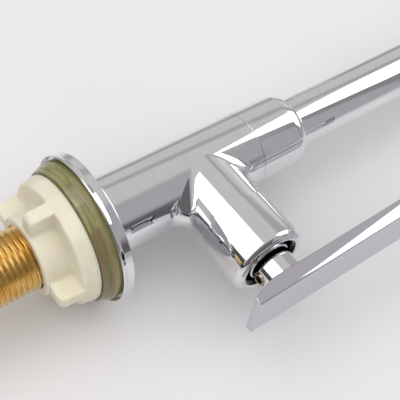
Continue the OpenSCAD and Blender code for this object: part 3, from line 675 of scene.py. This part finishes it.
def blade():
    """The lever's bar, lofted along z: each section is a rectangle of half width w(z) from the
    back x_b(z) to the front, with its corners rounded; w grows evenly, x_b rises over the bevels
    at both ends by deep softplus(long - distance from the end) / long, and both ends draw in
    over an arc to a flat face. Each side is crowned: across the bar it turns from square at the
    back to fifteen degrees towards the front."""
    edge, low_half, high_half = 0.35, 9.2, 11.15
    bevel_long, bevel_deep, soft, crown = 8.5, 2.6, 0.4, 0.13
    steps = [0.5, 1.2, 2.4, 4, 6, 7.6, *np.linspace(8.1, 8.9, 5)]
    t = np.linspace(0, math.pi / 2, 6)
    from_end = np.concatenate([edge * (1 - np.cos(t[:-1])), steps])
    z = np.concatenate([BLADE_LOW + from_end, np.linspace(BLADE_LOW + 12, BLADE_HIGH - 12, 12),
                        BLADE_HIGH - from_end])
    z = np.unique(np.round(z, 5))
    from_end = np.minimum(z - BLADE_LOW, BLADE_HIGH - z)
    inset = np.where(from_end < edge,
                     edge - np.sqrt(np.maximum(edge ** 2 - (edge - from_end) ** 2, 0)), 0)
    width = (low_half + (high_half - low_half) * (z - BLADE_LOW) / (BLADE_HIGH - BLADE_LOW)
             - inset)
    ramp = np.log1p(np.exp(np.clip((bevel_long - from_end) / soft, -30, 30))) * soft
    back = BLADE_X + bevel_deep * ramp / bevel_long + inset
    front = BLADE_X + BLADE_T - inset
    corner = np.linspace(0, math.pi / 2, 6)
    cx, cy = 1 - np.cos(corner), 1 - np.sin(corner)
    sx = np.concatenate([edge * cx, -edge * cx[::-1], -edge * cx, edge * cx[::-1]])
    sy = np.concatenate([edge * cy, edge * cy[::-1], -edge * cy, -edge * cy[::-1]])
    side = len(corner)
    at_back = np.r_[np.ones(side), np.zeros(2 * side), np.ones(side)][None, :]
    sign = np.r_[np.ones(2 * side), -np.ones(2 * side)][None, :]
    x = back[:, None] * at_back + front[:, None] * (1 - at_back) + sx[None, :]
    y = width[:, None] * sign - sy[None, :]
    x, y = (np.concatenate([q, q[:, :1]], 1) for q in (x, y))
    # The two sides, from point 5 to 6 and from 17 to 18, are cut into eight for their crown
    at = np.r_[0:5, np.linspace(5, 6, 9), 7:17, np.linspace(17, 18, 9), 19:25]
    below = np.minimum(at.astype(int), 4 * side - 1)
    x, y = (q[:, below] + (q[:, below + 1] - q[:, below]) * (at - below) for q in (x, y))
    depth = (x - BLADE_X) / BLADE_T
    y = y - np.sign(y) * BLADE_T * crown * np.clip(depth, 0, 1) ** 2
    points = np.stack([x, y, z[:, None] + 0 * x], -1)
    caps = []
    for row in (0, -1):
        ring = points[row]
        middle = ring[:-1].mean(0)
        cap = np.stack([ring, middle + 0 * ring])
        caps.append((cap, chord_normals(cap)))
    return [(points, chord_normals(points))] + caps


def lever():
    """Cast lever: foot ring and hub, turned, and the blade. The set screw's hole is a dent in the
    hub: a point of its wall nearer than 2.2 mm to the screw's axis moves in towards the hub's
    axis, by 3 mm inside 1.7 mm."""
    inner_r, foot_r, foot_low, foot_high, hub_end = 4.0, 7.6, 39.9, 41.2, BLADE_X + 0.6
    dent_r, dent_edge, dent_deep = 2.2, 0.5, 3
    hub = rounded([(inner_r, foot_low, 0.2), (foot_r, foot_low, 0.3), (foot_r, foot_high, 0.3),
                   (HUB_R, foot_high, 0.1), (HUB_R, hub_end, 0.1), (inner_r, hub_end, 0.1)],
                  steps=4)
    points, normals = turned(refine(hub, 0.25), along_branch, 192)
    from_screw = np.hypot(points[..., 0] - SCREW_X, points[..., 1])
    arms = points - np.stack([points[..., 0], 0 * from_screw, 0 * from_screw + BRANCH_Z], -1)
    wall = (np.abs(np.linalg.norm(arms, axis=-1) - HUB_R) < 0.01) & (arms[..., 2] < 0)
    share = np.clip((dent_r - from_screw) / dent_edge, 0, 1) * wall
    points = points - arms * (share * dent_deep / HUB_R)[..., None]
    normals = np.where(share[..., None] > 0, chord_normals(points, wrap_rows=True), normals)
    return [(points, normals)] + blade()


def hex_radius(angle, apothem):
    """Radius of a hexagon at an angle: apothem / cos of the angle from the nearest flat."""
    return apothem / np.cos((angle + math.pi / 6) % (math.pi / 3) - math.pi / 6)


def grub_screw():
    """Set screw, drawn from its outer face: thread rings, where the radius is
    crest - depth (1 - cos of 2 pi a pitch) / 2, chamfers, and a socket whose mouth is a hexagon
    by hex_radius and whose floor is a cone."""
    top, bottom, crest, depth, pitch, apothem = 46.2, 42.2, 2.5, 0.16, 0.8, 1.25
    u = np.linspace(0, 2 * math.pi, 73)[None, :]
    rows = [(0.0, top), (1.9, top), (2.1, top), (crest, top - 0.4)]
    rows += [(crest - depth * (0.5 - 0.5 * math.cos((top - h) / pitch * 2 * math.pi)), h)
             for h in np.arange(top - 0.5, bottom + 0.5, -0.1)]
    rows += [(crest, bottom + 0.4), (2.15, bottom + 0.04), (2.1, bottom), (1.75, bottom)]
    r, h = (np.array(column)[:, None] + 0 * u for column in zip(*rows))
    socket = hex_radius(u, apothem)
    r = np.concatenate([r, socket + 0.06, socket, socket, 0 * u])
    h = np.concatenate([h, bottom + 0 * u, bottom + 0.06 + 0 * u, bottom + 2.1 + 0 * u,
                        bottom + 2.6 + 0 * u])
    points = np.stack([SCREW_X + r * np.cos(u), r * np.sin(u), h], -1)
    return [(points, chord_normals(points))]


def aerator_shell():
    """Aerator shell, turned, with two flats for a key: each point of the outer rim that stands
    beyond the flat's plane is drawn back to it."""
    flat_x, flat_top = 10.4, 202.9
    profile = rounded([(7.4, 197.9, 0.25), (10.9, 197.9, 0.6), (10.9, 203.9, 0.25),
                       (9.35, 203.9, 0.1), (9.35, 205.7, 0.2), (8.45, 205.7, 0.1),
                       (8.45, 199.1, 0.1), (7.4, 199.1, 0.2)], steps=5)
    points, _ = turned(refine(profile, 0.7), upright, 144)
    low = points[..., 2] < flat_top
    points[..., 0] = np.where(low, np.clip(points[..., 0], -flat_x, flat_x), points[..., 0])
    points = at_outlet(points)
    return [(points, chord_normals(points, wrap_rows=True))]


CHROME, BRASS = FINISHES["chrome"], FINISHES["brass"]

piece("cast_body", tap_body(), CHROME, "tap", "chrome", "tap_body")

piece("base_disc", [turned(refine(rounded(
    [(BASE_BORE_R, GASKET_TOP, 0), (24.6, GASKET_TOP, 0.2), (24.6, 5.2, 0.38),
     (25.42, 5.2, 0.4), (24.95, 6.7, 1.2), (24.9, 9.4, 0.45), (14.2, FOOT_Z, 0.6),
     (BASE_BORE_R, FOOT_Z, 0)]), 3), cols=144)], CHROME, "tap", "chrome", "base_flange")

piece("deck_gasket", [turned(refine(rounded(
    [(BASE_BORE_R, 0, 0.3), (22.2, 0, 0.5), (23.7, 3.4, 0.3), (23.7, GASKET_TOP, 0.2),
     (BASE_BORE_R, GASKET_TOP, 0.2)]), 3), cols=144)],
    FINISHES["gasket_rubber"], "tap", "gasket_rubber", "base_gasket")

# The collar stands a hair above its seam; its shoulder is a quarter of an ellipse round the tube
collar_low, collar_in_z, tube_hole_r = SEAM_Z + 0.08, 81.9, TUBE_R + 0.2
wide, high = 3.4, 5
shoulder = [(tube_hole_r + wide * math.cos(a), COLLAR_TOP - high + high * math.sin(a), 0)
            for a in np.linspace(0, math.pi / 2, 15)]
piece("collar_nut", [turned(refine(rounded(
    [(COLLAR_BORE_R, collar_low, 0), (BODY_R, collar_low, 0.1)] + shoulder +
    [(tube_hole_r, collar_in_z, 0), (COLLAR_BORE_R, collar_in_z, 0)]), 2), cols=128)],
    CHROME, "tap", "chrome", "spout_collar")

piece("gooseneck", spout_tube(), CHROME, "spout", "chrome", "spout_tube")

# The sleeve stands a hair off the branch's end; its nose is half a circle
sleeve_low, sleeve_in_x = BRANCH_LEN + 0.05, 38.05
nose = [(SLEEVE_R - NOSE_R + NOSE_R * math.cos(a), SLEEVE_END - NOSE_R + NOSE_R * math.sin(a), 0)
        for a in np.linspace(0, math.pi, 25)]
piece("branch_sleeve", [turned(refine(rounded(
    [(SLEEVE_BORE_R, sleeve_low, 0), (SLEEVE_R, sleeve_low, 0.12)] + nose +
    [(SLEEVE_R - 2 * NOSE_R, sleeve_in_x, 0.2), (SLEEVE_BORE_R, sleeve_in_x, 0)]), 2),
    along_branch, 128)], CHROME, "tap", "chrome", "bonnet_sleeve")

piece("blade_lever", lever(), CHROME, "handle", "chrome", "lever")
piece("set_screw", grub_screw(), FINISHES["screw_nickel"], "handle", "screw_nickel", "grub_screw")
piece("threaded_tail", inlet_shank(), BRASS, "tap", "brass", "inlet_shank")
piece("backnut", lock_nut(), FINISHES["nut_plastic"], "nut", "nut_plastic", "lock_nut")

piece("outlet_sleeve", [turned(rounded(
    [(8.7, 207.7, 0.1), (9.4, 207.7, 0.1), (9.4, 204.0, 0.1), (10.9, 204.0, 0.5),
     (10.9, 215.0, 0.5), (9.65, 215.0, 0.15), (9.65, 208.9, 0.1), (8.7, 208.9, 0.1)]),
    at_outlet, 128)], CHROME, "spout", "chrome", "outlet_tip")
piece("aerator_rim", aerator_shell(), CHROME, "spout", "chrome", "aerator_shell")

# The pieces inside keep their CAD shape
for part in frame["record"]["subparts"]:
    node = frame["nodes"][part["node"]]
    if not node.hide_render:
        node.data.materials.clear()
        node.data.materials.append(FINISHES[part["material_slot"]])


# Table, light and camera

def table_top():
    """A pale flat board behind the tap, seen from its front only, so a camera behind it looks
    through it. To the camera it is evenly pale. Mirrors and scattered light see it turn grey
    from 100 to 320 mm off the middle of what the photograph shows, and dark from 70 to 160 mm
    below the deck, as the room beyond the photographed table does."""
    half, middle_z, points_a_side = 1400.0, 60, 9
    t = np.linspace(-half, half, points_a_side)
    x, z = np.meshgrid(t, t)
    grid = np.stack([x, TABLE_Y + 0 * x, z + middle_z], -1)
    index = np.arange(x.size).reshape(x.shape)
    cells = np.stack([index[:-1, :-1], index[:-1, 1:], index[1:, 1:], index[1:, :-1]],
                     -1).reshape(-1, 4)
    mesh = bpy.data.meshes.new("table_top")
    mesh.from_pydata((grid.reshape(-1, 3) * MM).tolist(), [], cells.tolist())
    mesh.update()
    thing = bpy.data.objects.new("table_top", mesh)
    bpy.context.scene.collection.objects.link(thing)

    material, tree, where = new_material("pale_lacquered_board")
    cloud = add(tree, "TexNoise", {"Vector": where, "Scale": 1 / (120 * MM), "Detail": 1.0})
    near = mottle(tree, cloud, "#E6E4E5", "#E9E7E8")
    off_middle = add(tree, "VectorMath", [where, (-17 * MM, TABLE_Y * MM, 74 * MM)], "Value",
                     operation="DISTANCE")
    far = add(tree, "MapRange", [off_middle, 100 * MM, 320 * MM])
    height = add(tree, "SeparateXYZ", [where], "Z")
    below = add(tree, "MapRange", [height, -160 * MM, -70 * MM, 1.0, 0.0])
    seen = add(tree, "LightPath", out="Is Camera Ray")
    unseen = add(tree, "Math", [1.0, seen], operation="SUBTRACT")
    shaded = add(tree, "Mix", {0: product(tree, far, unseen), 6: near, 7: linear("#AEACAE")}, 2,
                 data_type="RGBA")
    shaded = add(tree, "Mix", {0: product(tree, below, unseen), 6: shaded,
                               7: linear("#3C3C44")}, 2, data_type="RGBA")
    board = add(tree, "MixShader", [add(tree, "NewGeometry", out="Backfacing"),
                                    add(tree, "BsdfDiffuse", [shaded]),
                                    add(tree, "BsdfTransparent")])
    add(tree, "OutputMaterial", {"Surface": board}, None)
    mesh.materials.append(material)


def sloped(tree, right, up, angle):
    """Distance of a direction along a line that slopes up from the right by an angle."""
    a = math.radians(angle)
    across = add(tree, "Math", [right, math.cos(a)], operation="MULTIPLY")
    return add(tree, "Math", [up, math.sin(a), across], operation="MULTIPLY_ADD")


def studio():
    """The room round the table, by directions in degrees: for a direction d with angle g from
    the table's upward direction -Y, right = g dx / (dx^2 + dz^2)^0.5 and up is the same with dz.
    The chrome sees grey walls and two white soft boxes. Scattered light comes by four fifths
    from a white tent, brightest overhead and towards the camera, which keeps the shadows soft,
    and the camera itself sees an even pale ground."""
    world = bpy.data.worlds.new("studio")
    bpy.context.scene.world = world
    world.use_nodes = True
    tree = world.node_tree
    tree.nodes.clear()
    white, degrees = (1, 1, 1, 1), 180 / math.pi
    wall_light, box_light, tent_share = 0.63, 3.1, 0.8

    where = add(tree, "TexCoord", out="Generated")
    x, y, z = add(tree, "SeparateXYZ", [where]).node.outputs
    angle = add(tree, "Math", [product(tree, y, -1.0)], operation="ARCCOSINE")
    reach = off_line(tree, where, (1, 0, 1))
    rate = product(tree, add(tree, "Math", [angle, reach], operation="DIVIDE"), degrees)
    right, up = product(tree, x, rate), product(tree, z, rate)
    turned_off = product(tree, angle, degrees)
    along_shade = sloped(tree, right, up, 128.7)
    along_box = sloped(tree, right, up, 125.75)

    # Each part of the walls has its level and the bands whose product it fills
    walls = [
        # Paler strip of ceiling
        (0.75, band(tree, up, 57, None, 3)),
        # Soft shade on the left, sloping and then upright
        (0.44, band(tree, along_shade, 42, 51, 3.5), band(tree, right, -62, -8, 9)),
        (0.44, band(tree, right, -26, -8, 2), band(tree, up, 42, None, 3)),
        # Foot of the walls, and the right-hand wall
        (0.42, band(tree, turned_off, 83, None, 5)),
        (0.44, band(tree, right, 13, None, 7)),
        # Dark frame along the first box
        (0.28, band(tree, along_box, 11.5, 20, 1.5), band(tree, up, 36, None, 5)),
        # Dark end of the room on the right, its nearer part, and a paler gap in it
        (0.12, band(tree, right, 67, None, 8), band(tree, up, -90, 44, 3)),
        (0.15, band(tree, right, 22, None, 2), band(tree, up, -80, 18, 2)),
        (0.5, band(tree, right, 83, None, 5), band(tree, up, -50, 32, 6)),
        # Darkness beyond the foot of the table
        (0.08, band(tree, sloped(tree, right, up, -110), 78, None, 4))]
    light = wall_light
    for level, *bands in walls:
        light = add(tree, "Mix", {0: product(tree, *bands), 2: light, 3: level})
    tint = mottle(tree, right, "#FFFBF9", "#FCF9FD", (-20, 40))

    box_a = product(tree, band(tree, sloped(tree, right, up, 61.2), 28.4, None, 0.5),
                    band(tree, along_box, 18.6, None, 0.5), band(tree, right, -12, 30.5, 0.6),
                    band(tree, up, 20, 70, 0.8))
    box_b = product(tree, band(tree, sloped(tree, right, up, 9.1), -39, -8, 0.6),
                    band(tree, sloped(tree, right, up, -9.1), -30, None, 0.6),
                    band(tree, up, -72, -10.5, 0.8))
    room = add(tree, "MixShader", [add(tree, "Math", [box_a, box_b], operation="MAXIMUM"),
                                   add(tree, "Background", [tint, light]),
                                   add(tree, "Background", [white, box_light])])

    overhead = add(tree, "MapRange", [turned_off, 35, 75, 1.54, 0.2])
    front = add(tree, "MapRange", [sloped(tree, right, up, 329), -60, 60, 0.5, 1.5])
    tent = add(tree, "Background", [white, product(tree, overhead, front)])
    glossy = add(tree, "LightPath", out="Is Glossy Ray")
    soft = add(tree, "Math", [glossy, -tent_share, tent_share], operation="MULTIPLY_ADD")
    ground = add(tree, "Background", [linear("#EAE8E9"), 1.0])
    final = add(tree, "MixShader", [glossy.node.outputs["Is Camera Ray"],
                                    add(tree, "MixShader", [soft, room, tent]), ground])
    add(tree, "OutputWorld", {"Surface": final}, None)


def photo_camera():
    """The camera at the photograph's place, from its right, down and forward directions in the
    part's frame."""
    right = np.array([0.59436, -0.13373, 0.79300])
    down = np.array([0.68502, 0.60075, -0.41213])
    forward = np.array([-0.42128, 0.78818, 0.44867])
    place = np.eye(4)
    place[:3, 0], place[:3, 1], place[:3, 2] = right, -down, -forward
    place[:3, 3] = np.array([122.0197, -209.1338, -73.9760]) * MM
    data = bpy.data.cameras.new("camera")
    data.sensor_width, data.lens = 36.0, 72.309
    data.clip_start, data.clip_end = 0.01, 20
    thing = bpy.data.objects.new("camera", data)
    bpy.context.scene.collection.objects.link(thing)
    thing.matrix_world = Matrix(place.tolist())
    bpy.context.scene.camera = thing


table_top()
studio()
photo_camera()
bpy.context.scene.view_settings.view_transform = "Standard"
